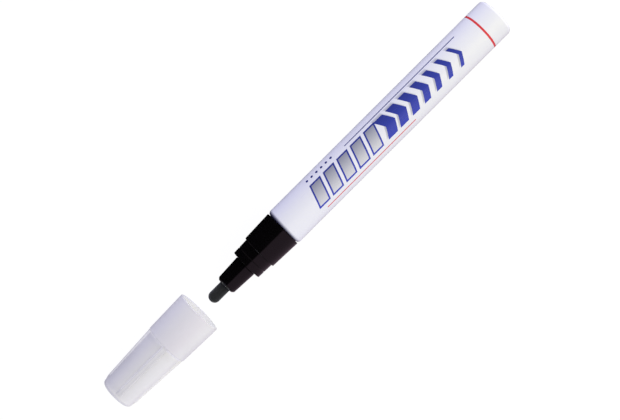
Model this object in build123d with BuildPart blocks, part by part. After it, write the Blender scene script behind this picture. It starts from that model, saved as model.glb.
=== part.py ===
"""Valve-action paint marker, lying on its side with its cap pulled off in line with the nib.

The long axis runs along X with the nib towards +X, and Z is up. The origin is on the surface that
the marker lies on, under the middle of its whole length. Lengths are in millimetres. Places along
the axis are measured from the plane of the barrel's rolled rim, forwards to the nib. Steps and
tapers are differences of radius.
"""
from build123d import *

import os
from math import cos, pi, sin, sqrt, tau

# Barrel: an extruded aluminium tube with a closed base and a rim rolled inwards
barrel_diameter = 14.2
barrel_length = 99.8
barrel_wall = 0.45
barrel_base = 0.9
barrel_edge_radius = 1.25
rim_roll_radius = 1.0

# Front section: the tapered collar, the ringed land for the cap and the spigot in the barrel
collar_gap = 0.35
collar_length = 11.45
collar_step = 0.15
collar_taper = 0.4
collar_chamfer = 0.18
land_length = 2.95
land_step = 0.6
land_taper = 0.2
land_chamfer = 0.15
land_groove_place = 0.45
land_groove_width = 0.6
land_groove_depth = 0.2
spigot_length = 7.9
spigot_chamfer = 0.4
chamber_wall = 0.9
passage_length = 3.6
passage_diameter = 4.8
rim_clearance = 0.1
spigot_clearance = 0.05

# Gasket: a rubber ring in a groove round the spigot
gasket_wire = 1.0
gasket_groove_width = 1.3
gasket_clearance = 0.02

# Nib holder: the tapered nozzle, its neck and the shank that is pushed into the section
neck_length = 0.35
neck_step = 0.5
nozzle_length = 9.55
nozzle_diameter = 8.1
nozzle_taper = 0.45
nozzle_rear_chamfer = 0.15
nozzle_front_chamfer = 0.65
channel_count = 6
channel_width = 0.7
channel_depth = 0.55
channel_stop = 1.6
push_clearance = 0.03

# Nib: a felt rod with a bullet end
nib_diameter = 4.2
nib_reach = 7.05
nib_dome_length = 2.0
nib_tail_chamfer = 0.3
nib_tail_margin = 0.4
nib_travel = 2.0
slide_clearance = 0.05

# Valve: a washer, a plunger with a head, a spring and the cup that holds them
seat_thickness = 1.4
seat_bore = 3.6
pin_diameter = 2.4
pin_chamfer = 0.2
head_thickness = 1.5
head_chamfer = 0.25
head_clearance = 0.4
boss_length = 1.6
boss_clearance = 0.275
tail_diameter = 2.0
tail_stub = 0.8
spring_length = 11.0
spring_diameter = 4.2
spring_wire = 0.45
spring_turns = 7
spring_end_gap = 0.42
spring_clearance = 0.05
housing_wall = 0.75
flange_inset = 0.8
flange_thickness = 1.2
guide_ring_margin = 0.2
slot_count = 4
spoke_width = 1.2

# Mixing ball
ball_diameter = 6.0
ball_clearance = 0.1
ball_place = 62.0

# Cap: a wide skirt that fits the collar, a step and a narrower nose with ribs
cap_mouth_wall = 1.25
cap_step_wall = 1.35
cap_nose_wall = 0.9
cap_nose_taper = 0.9
cap_end_wall = 1.25
cap_skirt_length = 15.5
cap_edge_radius = 1.3
cap_lip_radius = 0.3
cap_nib_room = 3.6
cap_stop_gap = 0.25
cap_pulled_gap = 5.1
cap_clearance = 0.1
snap_clearance = 0.05
snap_bead_width = 0.45
rib_count = 4
rib_width = 2.0
rib_fade = 3.0
rib_root = 0.3

# Radii from the barrel inwards and forwards
barrel_radius = barrel_diameter / 2
barrel_bore_radius = barrel_radius - barrel_wall
rim_bore_radius = barrel_radius - rim_roll_radius
section_neck_radius = rim_bore_radius - rim_clearance
spigot_radius = barrel_bore_radius - spigot_clearance
flange_radius = spigot_radius - flange_inset
gasket_centre_radius = barrel_bore_radius - gasket_clearance - gasket_wire / 2
gasket_groove_radius = gasket_centre_radius - gasket_wire / 2 - gasket_clearance
chamber_radius = gasket_groove_radius - chamber_wall
housing_radius = chamber_radius - push_clearance
housing_bore_radius = housing_radius - housing_wall
head_radius = housing_bore_radius - head_clearance
collar_rear_radius = barrel_radius - collar_step
collar_front_radius = collar_rear_radius - collar_taper
land_rear_radius = collar_front_radius - land_step
land_front_radius = land_rear_radius - land_taper

# Radii of the nib, its holder and the valve's inner parts
nib_radius = nib_diameter / 2
nib_bore_radius = nib_radius + slide_clearance
nozzle_rear_radius = nozzle_diameter / 2
nozzle_front_radius = nozzle_rear_radius - nozzle_taper
shank_radius = nozzle_rear_radius - neck_step
socket_radius = shank_radius + push_clearance
passage_radius = passage_diameter / 2
pin_radius = pin_diameter / 2
tail_radius = tail_diameter / 2
guide_bore_radius = tail_radius + slide_clearance
spring_radius = spring_diameter / 2
boss_radius = spring_radius - spring_wire / 2 - boss_clearance
guide_ring_radius = spring_radius + spring_wire / 2 + guide_ring_margin

# Places from the rim forwards: the land reaches into the nose of the closed cap
spigot_front = -(rim_roll_radius + rim_clearance)
collar_front = collar_gap + collar_length
shoulder_place = cap_skirt_length - cap_nose_wall
shoulder_seat = cap_stop_gap + shoulder_place
land_front = shoulder_seat + land_length
groove_middle = shoulder_seat + land_groove_place
groove_front = groove_middle + land_groove_width / 2
groove_rear = groove_middle - land_groove_width / 2
nozzle_rear = land_front + neck_length
nozzle_front = nozzle_rear + nozzle_length
nib_tip = nozzle_front + nib_reach

# Places of the valve, from the rear of the section forwards to the nib's tail
section_rear = -spigot_length
housing_rear = section_rear - flange_thickness
tail_end = housing_rear - tail_stub
head_rear = section_rear + spring_length + 2 * spring_clearance
seat_rear = head_rear + head_thickness
chamber_front = seat_rear + seat_thickness
socket_floor = chamber_front + passage_length
nib_tail = socket_floor + nib_travel + nib_tail_margin


def collar_radius(place):
    """Radius of the collar's cone, carried on past its ends, at a place along the axis."""
    return collar_rear_radius - collar_taper * (place - collar_gap) / collar_length


def land_radius(place):
    """Radius of the land's cone at a place along the axis."""
    return land_rear_radius - land_taper * (place - collar_front) / (land_front - collar_front)


def nozzle_radius(place):
    """Radius of the nozzle's cone at a place along the axis."""
    return nozzle_rear_radius - nozzle_taper * (place - nozzle_rear) / nozzle_length


# Cap: depths are measured from its mouth
cap_length = nib_tip - cap_stop_gap + cap_nib_room + cap_end_wall
cap_mouth = nib_tip + cap_pulled_gap
cap_end = cap_mouth + cap_length
cap_travel = cap_mouth - cap_stop_gap
well_depth = cap_length - cap_end_wall
skirt_mouth_radius = collar_radius(cap_stop_gap) + cap_clearance
skirt_step_radius = collar_radius(cap_stop_gap + cap_skirt_length) + cap_clearance
cap_mouth_radius = skirt_mouth_radius + cap_mouth_wall
cap_step_radius = skirt_step_radius + cap_step_wall
nose_bore_radius = land_rear_radius + cap_clearance
nose_end_bore_radius = nose_bore_radius - cap_nose_taper
nose_radius = nose_bore_radius + cap_nose_wall
cap_end_radius = nose_end_bore_radius + cap_nose_wall
skirt_slope = (cap_mouth_radius - cap_step_radius) / cap_skirt_length
nose_slope = cap_nose_taper / (cap_length - cap_skirt_length)


def nose_bore_at(depth):
    """Radius of the bore in the cap's nose at a depth from the mouth."""
    return nose_bore_radius - cap_nose_taper * (depth - shoulder_place) / (well_depth - shoulder_place)


# Frame: the whole length is centred on X, and the rounded lip of the cap touches the surface
lip_loss = cap_lip_radius * (skirt_slope + sqrt(1 + skirt_slope ** 2) - 1)
axis_height = cap_mouth_radius - lip_loss
rim_x = (barrel_length - cap_end) / 2
profile_plane = Plane(origin=(rim_x, 0, axis_height), x_dir=(1, 0, 0), z_dir=(0, -1, 0))
cap_plane = Plane(origin=(rim_x + cap_mouth, 0, axis_height), x_dir=(1, 0, 0), z_dir=(0, -1, 0))
centre_line = Axis((rim_x, 0, axis_height), (1, 0, 0))


def cross_plane(place):
    """Plane square to the axis at a place along it, facing the nib."""
    return Plane(origin=(rim_x + place, 0, axis_height), x_dir=(0, 1, 0), z_dir=(1, 0, 0))


# Barrel
base_corner_radius = barrel_edge_radius - barrel_wall
base_inside = -barrel_length + barrel_base
rim_centre = (-rim_roll_radius, rim_bore_radius)
with BuildPart() as barrel:
    with BuildSketch(profile_plane):
        with BuildLine():
            base_face = Line((-barrel_length, 0), (-barrel_length, barrel_radius - barrel_edge_radius))
            base_edge = CenterArc(
                (-barrel_length + barrel_edge_radius, barrel_radius - barrel_edge_radius),
                barrel_edge_radius, 180, -90,
            )
            Line(base_edge @ 1, (-rim_roll_radius, barrel_radius))
            rim_outside = CenterArc(rim_centre, rim_roll_radius, 90, -90)
            Line(rim_outside @ 1, (-barrel_wall, rim_bore_radius))
            rim_inside = CenterArc(rim_centre, rim_roll_radius - barrel_wall, 0, 90)
            Line(rim_inside @ 1, (base_inside + base_corner_radius, barrel_bore_radius))
            base_corner = CenterArc(
                (base_inside + base_corner_radius, barrel_bore_radius - base_corner_radius),
                base_corner_radius, 90, 90,
            )
            Polyline(base_corner @ 1, (base_inside, 0), base_face @ 0)
        make_face()
    revolve(axis=centre_line)

# Front section
gasket_place = (spigot_front + section_rear) / 2
with BuildPart() as front_section:
    with BuildSketch(profile_plane):
        with BuildLine():
            rear_half = Polyline(
                (section_rear, chamber_radius),
                (section_rear, spigot_radius - spigot_chamfer),
                (section_rear + spigot_chamfer, spigot_radius),
                (gasket_place - gasket_groove_width / 2, spigot_radius),
                (gasket_place - gasket_groove_width / 2, gasket_groove_radius),
                (gasket_place + gasket_groove_width / 2, gasket_groove_radius),
                (gasket_place + gasket_groove_width / 2, spigot_radius),
                (spigot_front, spigot_radius),
                (spigot_front, section_neck_radius),
                (collar_gap, section_neck_radius),
                (collar_gap, collar_rear_radius),
                (collar_front - collar_chamfer, collar_radius(collar_front - collar_chamfer)),
                (collar_front, collar_front_radius - collar_chamfer),
                (collar_front, land_rear_radius),
                (groove_rear, land_radius(groove_rear)),
            )
            groove = ThreePointArc(
                rear_half @ 1,
                (groove_middle, land_radius(groove_middle) - land_groove_depth),
                (groove_front, land_radius(groove_front)),
            )
            Polyline(
                groove @ 1,
                (land_front - land_chamfer, land_radius(land_front - land_chamfer)),
                (land_front, land_front_radius - land_chamfer),
                (land_front, socket_radius),
                (socket_floor, socket_radius),
                (socket_floor, passage_radius),
                (chamber_front, passage_radius),
                (chamber_front, chamber_radius),
                rear_half @ 0,
            )
        make_face()
    revolve(axis=centre_line)

# Gasket
with BuildPart() as section_gasket:
    with BuildSketch(profile_plane):
        with Locations((gasket_place, gasket_centre_radius)):
            Circle(gasket_wire / 2)
    revolve(axis=centre_line)

# Nib holder
nozzle_chamfer_rear = nozzle_rear + nozzle_rear_chamfer
nozzle_chamfer_front = nozzle_front - nozzle_front_chamfer
with BuildPart() as nib_holder:
    with BuildSketch(profile_plane):
        with BuildLine():
            Polyline(
                (socket_floor, nib_bore_radius),
                (socket_floor, shank_radius),
                (nozzle_rear, shank_radius),
                (nozzle_rear, nozzle_rear_radius - nozzle_rear_chamfer),
                (nozzle_chamfer_rear, nozzle_radius(nozzle_chamfer_rear)),
                (nozzle_chamfer_front, nozzle_radius(nozzle_chamfer_front)),
                (nozzle_front, nozzle_front_radius - nozzle_front_chamfer),
                (nozzle_front, nib_bore_radius),
                close=True,
            )
        make_face()
    revolve(axis=centre_line)
    with BuildSketch(cross_plane(socket_floor)):
        with PolarLocations(nib_bore_radius, channel_count):
            Rectangle(2 * channel_depth, channel_width)
    extrude(amount=nozzle_front - channel_stop - socket_floor, mode=Mode.SUBTRACT)

# Nib
nib_shoulder = nib_tip - nib_dome_length
with BuildPart() as nib:
    with BuildSketch(profile_plane):
        with BuildLine():
            Polyline(
                (nib_shoulder, nib_radius),
                (nib_tail + nib_tail_chamfer, nib_radius),
                (nib_tail, nib_radius - nib_tail_chamfer),
                (nib_tail, 0),
                (nib_tip, 0),
            )
            EllipticalCenterArc((nib_shoulder, 0), nib_dome_length, nib_radius, start_angle=0, arc_size=90)
        make_face()
    revolve(axis=centre_line)

# Valve seat
with BuildPart() as valve_seat:
    with BuildSketch(cross_plane(seat_rear)):
        Circle(housing_radius)
        Circle(seat_bore / 2, mode=Mode.SUBTRACT)
    extrude(amount=seat_thickness)

# Valve stem
with BuildPart() as valve_stem:
    with BuildSketch(profile_plane):
        with BuildLine():
            Polyline(
                (tail_end, 0),
                (tail_end, tail_radius),
                (head_rear - boss_length, tail_radius),
                (head_rear - boss_length, boss_radius),
                (head_rear, boss_radius),
                (head_rear, head_radius - head_chamfer),
                (head_rear + head_chamfer, head_radius),
                (seat_rear - head_chamfer, head_radius),
                (seat_rear, head_radius - head_chamfer),
                (seat_rear, pin_radius),
                (nib_tail - pin_chamfer, pin_radius),
                (nib_tail, pin_radius - pin_chamfer),
                (nib_tail, 0),
                close=True,
            )
        make_face()
    revolve(axis=centre_line)

# Valve spring: its end turns are wound closer than the middle ones, and each quarter turn is two arcs
arcs_per_turn = 4
gap_steps_per_turn = 24
spring_start = section_rear + spring_clearance + spring_wire / 2
end_pitch = spring_wire + spring_end_gap
middle_turns = spring_turns - 2
middle_rise = spring_length - spring_wire - spring_turns * end_pitch


def middle_share(turn):
    """How far through the wider middle turns the wire is after so many turns, from 0 to 1."""
    return min(max((turn - 1) / middle_turns, 0), 1)


def coil_point(turn):
    """Centre of the wire after so many turns."""
    share = middle_share(turn)
    rise = end_pitch * turn + middle_rise * share * share * (3 - 2 * share)
    return Vector(
        rim_x + spring_start + rise,
        spring_radius * cos(tau * turn),
        axis_height + spring_radius * sin(tau * turn),
    )


def coil_direction(turn):
    """Unit direction of the wire after so many turns."""
    share = middle_share(turn)
    pitch = end_pitch + middle_rise * 6 * share * (1 - share) / middle_turns
    around = pi * spring_diameter
    return Vector(pitch, -around * sin(tau * turn), around * cos(tau * turn)).normalized()


with BuildPart() as valve_spring:
    with BuildLine() as coil:
        for step in range(arcs_per_turn * spring_turns):
            start = coil_point(step / arcs_per_turn)
            end = coil_point((step + 1) / arcs_per_turn)
            leaving = coil_direction(step / arcs_per_turn)
            arriving = coil_direction((step + 1) / arcs_per_turn)
            span = end - start
            both = leaving + arriving
            bend = 2 * (1 - leaving.dot(arriving))
            reach = (sqrt(span.dot(both) ** 2 + bend * span.dot(span)) - span.dot(both)) / bend
            first_corner = start + leaving * reach
            second_corner = end - arriving * reach
            meeting = (first_corner + second_corner) / 2
            TangentArc(start, meeting, tangent=leaving)
            TangentArc(meeting, end, tangent=second_corner - first_corner)
    with BuildSketch(Plane(origin=coil.line @ 0, z_dir=coil.line % 0)):
        Circle(spring_wire / 2)
    sweep()

wire_points = [coil_point(step / gap_steps_per_turn) for step in range(gap_steps_per_turn * spring_turns + 1)]
least_gap = min(
    (wire_points[later] - point).length
    for step, point in enumerate(wire_points)
    for later in range(step + gap_steps_per_turn // 2, len(wire_points))
) - spring_wire
print(f"valve spring: least gap between turns {least_gap:.2f} mm")

# Valve housing
with BuildPart() as valve_housing:
    with BuildSketch(profile_plane):
        with BuildLine():
            Polyline(
                (housing_rear, guide_bore_radius),
                (housing_rear, flange_radius),
                (section_rear, flange_radius),
                (section_rear, housing_radius),
                (seat_rear, housing_radius),
                (seat_rear, housing_bore_radius),
                (section_rear, housing_bore_radius),
                (section_rear, guide_bore_radius),
                close=True,
            )
        make_face()
    revolve(axis=centre_line)
    with BuildSketch(cross_plane(housing_rear)):
        Circle(housing_bore_radius)
        Circle(guide_ring_radius, mode=Mode.SUBTRACT)
        with PolarLocations(housing_bore_radius, slot_count):
            Rectangle(2 * (housing_bore_radius - guide_bore_radius), spoke_width, mode=Mode.SUBTRACT)
    extrude(amount=flange_thickness, mode=Mode.SUBTRACT)

# Mixing ball, lying on the lower wall of the barrel
ball_drop = barrel_bore_radius - ball_diameter / 2 - ball_clearance
with BuildPart(Plane(origin=(rim_x - ball_place, 0, axis_height - ball_drop))) as mixing_ball:
    Sphere(ball_diameter / 2)

# Cap
snap_place = groove_middle - cap_stop_gap
snap_radius = land_radius(groove_front) + snap_clearance
snap_rear = snap_place - snap_bead_width / 2
snap_front = snap_place + snap_bead_width / 2
rib_end = cap_length - rib_fade
rib_end_radius = nose_radius - nose_slope * (rib_end - cap_skirt_length)
rib_step_radius = sqrt(cap_step_radius ** 2 - (rib_width / 2) ** 2)
with BuildPart() as cap:
    with BuildSketch(cap_plane):
        with BuildLine():
            wall_inside = Polyline(
                (0, skirt_mouth_radius),
                (shoulder_place, collar_radius(shoulder_seat) + cap_clearance),
                (shoulder_place, nose_bore_radius),
                (snap_rear, nose_bore_at(snap_rear)),
            )
            bead = ThreePointArc(
                wall_inside @ 1, (snap_place, snap_radius), (snap_front, nose_bore_at(snap_front))
            )
            Polyline(
                bead @ 1,
                (well_depth, nose_end_bore_radius),
                (well_depth, 0),
                (cap_length, 0),
                (cap_length, cap_end_radius),
                (cap_skirt_length, nose_radius),
                (cap_skirt_length, cap_step_radius),
                (0, cap_mouth_radius),
                wall_inside @ 0,
            )
        make_face()
    revolve(axis=centre_line)
    for rib in range(rib_count):
        with BuildSketch(cap_plane.rotated((360 * rib / rib_count, 0, 0))):
            with BuildLine():
                Polyline(
                    (cap_skirt_length, nose_radius - rib_root),
                    (cap_skirt_length, rib_step_radius),
                    (rib_end, rib_end_radius),
                    (rib_end, rib_end_radius - rib_root),
                    close=True,
                )
            make_face()
        extrude(amount=rib_width / 2, both=True)
    end_edge = cap.edges().filter_by(GeomType.CIRCLE).sort_by(Axis.X)[-1]
    fillet(end_edge, radius=cap_edge_radius)
    lip_edges = cap.edges().filter_by(GeomType.CIRCLE).group_by(Axis.X)[0]
    fillet(lip_edges, radius=cap_lip_radius)

pieces = {
    "barrel": barrel,
    "front_section": front_section,
    "section_gasket": section_gasket,
    "nib_holder": nib_holder,
    "nib": nib,
    "valve_seat": valve_seat,
    "valve_stem": valve_stem,
    "valve_spring": valve_spring,
    "valve_housing": valve_housing,
    "mixing_ball": mixing_ball,
    "cap": cap,
}
os.makedirs("parts", exist_ok=True)
for name, piece in pieces.items():
    piece.part.label = name
    export_step(piece.part, f"parts/{name}.step")
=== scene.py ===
"""A valve-action paint marker with its cap taken off: its pieces, finishes and stage.

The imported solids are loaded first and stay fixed. The operators model the outer pieces and the spring round
their solids, give the other inner parts their finishes and set the stage. Lengths are metres: the long axis
runs along X, the nib points to +X and Z is up.
"""
import math

import bmesh
import bpy
from bpy.props import FloatProperty, FloatVectorProperty, IntProperty, PointerProperty
from bpy.types import Operator, Panel, PropertyGroup, Scene
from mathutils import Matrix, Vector


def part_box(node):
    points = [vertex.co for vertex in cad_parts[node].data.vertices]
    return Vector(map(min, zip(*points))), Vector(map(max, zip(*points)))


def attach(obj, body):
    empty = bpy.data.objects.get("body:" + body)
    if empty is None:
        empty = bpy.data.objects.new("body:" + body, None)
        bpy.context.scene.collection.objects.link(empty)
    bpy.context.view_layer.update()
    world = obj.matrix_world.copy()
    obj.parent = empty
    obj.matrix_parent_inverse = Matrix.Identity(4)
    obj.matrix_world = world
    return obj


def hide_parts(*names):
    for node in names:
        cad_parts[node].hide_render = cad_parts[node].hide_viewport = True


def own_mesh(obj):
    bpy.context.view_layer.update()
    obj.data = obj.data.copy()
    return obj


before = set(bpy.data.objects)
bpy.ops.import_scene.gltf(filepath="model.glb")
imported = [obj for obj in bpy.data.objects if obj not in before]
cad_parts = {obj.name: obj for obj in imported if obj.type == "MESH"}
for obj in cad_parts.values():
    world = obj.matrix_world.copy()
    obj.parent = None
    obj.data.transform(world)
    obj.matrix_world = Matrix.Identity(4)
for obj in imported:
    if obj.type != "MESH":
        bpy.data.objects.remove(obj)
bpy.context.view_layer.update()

bl_info = {
    "name": "Paint marker",
    "version": (1, 0, 0),
    "blender": (4, 5, 0),
    "location": "View3D > Sidebar > Marker",
    "description": "Models the pieces, finishes and stage of a paint marker round its solids",
    "category": "Add Mesh",
}


# Places and radii of the solids

def turned_span(node):
    """Rear place, front place and outer radius of a turned solid."""
    low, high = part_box(node)
    return low.x, high.x, (high.y - low.y) / 2


BARREL_REAR, BARREL_RIM, BARREL_RADIUS = turned_span("barrel")
SECTION_REAR, LAND_FRONT, COLLAR_RADIUS = turned_span("front_section")
HOLDER_REAR, NOZZLE_FRONT, NOZZLE_RADIUS = turned_span("nib_holder")
NIB_TAIL, NIB_TIP, NIB_RADIUS = turned_span("nib")
CAP_MOUTH, CAP_END, CAP_RADIUS = turned_span("cap")
GASKET_REAR, GASKET_FRONT, GASKET_RADIUS = turned_span("section_gasket")
_, SEAT_FRONT, SEAT_RADIUS = turned_span("valve_seat")
SPRING_REAR, SPRING_FRONT, SPRING_RADIUS = turned_span("valve_spring")
AXIS_HEIGHT = (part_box("barrel")[0].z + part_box("barrel")[1].z) / 2

# How finely shapes are drawn: a rounding has a segment more for each step of its radius

MERGE_DISTANCE = 1e-7
PLACE_TOLERANCE = 2e-6
SMOOTH_ANGLE = math.radians(32)
ROUND_SEGMENTS = 5
ROUND_STEP = 0.0001

# How finely finishes are drawn

PRINT_EDGE = 0.00004
PRINT_WAVER = 0.00005
CAP_EDGE = 0.00003
WHITE = (1.0, 1.0, 1.0, 1.0)
BLACK = (0.0, 0.0, 0.0, 1.0)
IMAGE_WIDTH = 620


# Settings

def length(name, description, default):
    """A length in metres that a user can change."""
    return FloatProperty(name=name, description=description, default=default, unit="LENGTH", precision=5)


def share(name, description, default):
    """A share from none to all that a user can change."""
    return FloatProperty(name=name, description=description, default=default, min=0, max=1, subtype="FACTOR")


def colour(name, description, default):
    """A colour that a user can change."""
    return FloatVectorProperty(name=name, description=description, default=default, min=0, max=1, size=3,
                               subtype="COLOR")


def angle(name, description, degrees):
    """An angle that a user can change."""
    return FloatProperty(name=name, description=description, default=math.radians(degrees), subtype="ANGLE")


def count(name, description, default, least=1):
    """A number of like parts that a user can change."""
    return IntProperty(name=name, description=description, default=default, min=least)


def amount(name, description, default, unit="NONE"):
    """An amount from nought up that a user can change."""
    return FloatProperty(name=name, description=description, default=default, min=0, unit=unit)


def spot(name, description, default):
    """A place in the room that a user can change."""
    return FloatVectorProperty(name=name, description=description, default=default, size=3, subtype="XYZ",
                               unit="LENGTH")


class BarrelSettings(PropertyGroup):
    """The lacquered tube and its print."""

    wall: length("Wall", "Thickness of the tube's wall", 0.00045)
    base: length("Base", "Thickness of the closed end", 0.0009)
    edge_radius: length("Edge radius", "Rounding round the closed end", 0.00125)
    rim_roll: length("Rim roll", "How far the front rim is rolled in", 0.0010)
    rim_lead: length("Rim lead", "How far the roll bulges before the plane of the rim", 0.00040)
    rim_slope: length("Rim slope", "Length of the roll's sloping part", 0.00075)
    rim_drop: length("Rim drop", "How far the roll's sloping part falls", 0.00055)
    # Painted shade on the rolled rim: darkest by the collar, where shade falls, and reaching less far on the
    # lit +Y side
    painted_rim_shade: colour("Rim tint", "Colour of the thin lacquer on the roll", (0.055, 0.055, 0.105))
    rim_shade_reach: length("Rim tint reach", "How far behind the rim its tint reaches", 0.00024)
    rim_shade_soft: length("Rim tint softness", "How far the edge of the rim's tint fades", 0.00065)
    rim_shade_lean: share("Rim tint lean", "How much the tint draws back, for each length towards +Y", 0.05)
    lip_radius: length("Lip radius", "Rounding on the lip of the rim", 0.0001)
    lacquer: colour("Lacquer", "White of the lacquer", (0.84, 0.84, 0.88))
    blue_ink: colour("Blue ink", "Main colour of the print", (0.040, 0.062, 0.48))
    deep_ink: colour("Deep ink", "Blue at the far edge of the print", (0.026, 0.040, 0.27))
    navy_ink: colour("Navy ink", "Colour of the dots and the navy rule", (0.020, 0.030, 0.20))
    red_ink: colour("Red ink", "Colour of the red rule and the ring", (0.72, 0.045, 0.05))
    dark_tint: colour("Dark tint", "Grey at the far edge of the plates", (0.25, 0.26, 0.33))
    pale_tint: colour("Pale tint", "Grey at the near edge of the plates", (0.72, 0.72, 0.75))
    print_slant: share("Print slant", "How far the plates lean, for each length across", 0.34)
    print_middle: length("Print middle", "Arc from the top line to the middle of the print", 0.0003)
    plates_start: length("Plates start", "Distance of the first plate behind the rim", 0.0135)
    plate_pitch: length("Plate pitch", "Distance from one plate to the next", 0.0062)
    plate_width: length("Plate width", "Width of a plate along the barrel", 0.0050)
    plate_height: length("Plate height", "Height of a plate across the barrel", 0.0084)
    plate_border: length("Plate border", "Width of the outline of a plate", 0.00062)
    plate_count: count("Plate count", "How many outlined plates", 5)
    chevrons_start: length("Chevrons start", "Distance of the first chevron behind the rim", 0.0470)
    chevron_pitch: length("Chevron pitch", "Distance from one chevron to the next", 0.0056)
    chevron_width: length("Chevron width", "Width of the first chevron along the barrel", 0.0042)
    chevron_fall: length("Chevron fall", "How much narrower each next chevron is", 0.00045)
    chevron_height: length("Chevron height", "Height of a chevron across the barrel", 0.0080)
    chevron_lean: share("Chevron lean", "How far the arms lean forwards, for each length across", 0.55)
    chevron_gap: share("Chevron gap", "Share of the last chevron's pitch that stays clear", 0.3)
    chevron_count: count("Chevron count", "How many solid chevrons", 7)
    shadow_along: length("Shadow along", "Shift of the chevrons' shadow along the barrel", 0.0003)
    shadow_across: length("Shadow across", "Shift of the chevrons' shadow across the barrel", 0.0008)
    shadow_soft: length("Shadow softness", "How far the edge of the shadow fades", 0.0006)
    shadow_depth: share("Shadow depth", "How much of the dark tint the shadow takes", 0.6)
    rule_width: length("Rule width", "Width of the fine rules", 0.00038)
    red_rule_place: length("Red rule place", "Arc from the print's middle to the red rule", 0.0060)
    red_rule_start: length("Red rule start", "Distance of the red rule's start behind the rim", 0.0150)
    red_rule_end: length("Red rule end", "Distance of the red rule's end behind the rim", 0.0560)
    navy_rule_place: length("Navy rule place", "Arc from the print's middle to the navy rule", -0.0057)
    navy_rule_start: length("Navy rule start", "Distance of the navy rule's start behind the rim", 0.0330)
    navy_rule_end: length("Navy rule end", "Distance of the navy rule's end behind the rim", 0.0840)
    ring_place: length("Ring place", "Distance of the printed ring behind the rim", 0.0920)
    dots_place: length("Dots place", "Arc from the print's middle to the row of dots", -0.0064)
    dots_start: length("Dots start", "Distance of the row of dots behind the rim", 0.0150)
    dot_pitch: length("Dot pitch", "Distance from one dot to the next", 0.0022)
    dot_radius: length("Dot radius", "Radius of the printed dots", 0.00050)
    dot_count: count("Dot count", "How many printed dots", 6)


class SectionSettings(PropertyGroup):
    """The collar, the ringed land and the spigot of the front section."""

    collar_gap: length("Collar gap", "Distance of the collar before the plane of the rim", 0.00068)
    collar_length: length("Collar length", "Length of the collar", 0.01112)
    collar_front_radius: length("Collar front radius", "Radius at the collar's front", 0.00655)
    collar_chamfer: length("Collar chamfer", "Chamfer at the collar's front", 0.00018)
    land_rear_radius: length("Land rear radius", "Radius of the land beside the collar", 0.00595)
    land_front_radius: length("Land front radius", "Radius of the land at its front", 0.00575)
    groove_place: length("Groove place", "Distance of the ring groove behind the land's front", 0.0025)
    groove_width: length("Groove width", "Width of the ring groove", 0.0006)
    groove_depth: length("Groove depth", "Depth of the ring groove", 0.00020)
    neck_radius: length("Neck radius", "Radius inside the barrel's rim", 0.0060)
    neck_inset: length("Neck inset", "How far the neck reaches behind the rim", 0.0011)
    spigot_radius: length("Spigot radius", "Radius of the spigot in the barrel", 0.0066)
    passage_radius: length("Passage radius", "Radius of the paint passage", 0.0024)
    socket_radius: length("Socket radius", "Radius of the socket for the nib holder", 0.00358)
    edge_radius: length("Edge radius", "Rounding on the moulded edges", 0.00012)
    plastic: colour("Plastic", "Colour of the black plastic", (0.0013, 0.0010, 0.0012))


class HolderSettings(PropertyGroup):
    """The nozzle that holds the nib."""

    neck_length: length("Neck length", "Length of the neck in front of the land", 0.00035)
    shank_radius: length("Shank radius", "Radius of the shank and the neck", 0.00355)
    front_radius: length("Front radius", "Radius near the nozzle's front", 0.00360)
    rear_chamfer: length("Rear chamfer", "Chamfer at the nozzle's rear", 0.00015)
    front_chamfer: length("Front chamfer", "Chamfer at the nozzle's front", 0.00065)
    bore_gap: length("Bore gap", "Gap between the nib and the bore", 0.00005)
    edge_radius: length("Edge radius", "Rounding on the moulded edges", 0.00022)


class NibSettings(PropertyGroup):
    """The felt nib."""

    dome_length: length("Dome length", "Length of the rounded end", 0.0020)
    tail_radius: length("Tail radius", "Rounding at the tail", 0.0003)
    felt: colour("Felt", "Colour of the felt", (0.0092, 0.0098, 0.0088))
    fibre: colour("Fibre", "Colour of the paler fibres", (0.020, 0.021, 0.0195))


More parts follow.
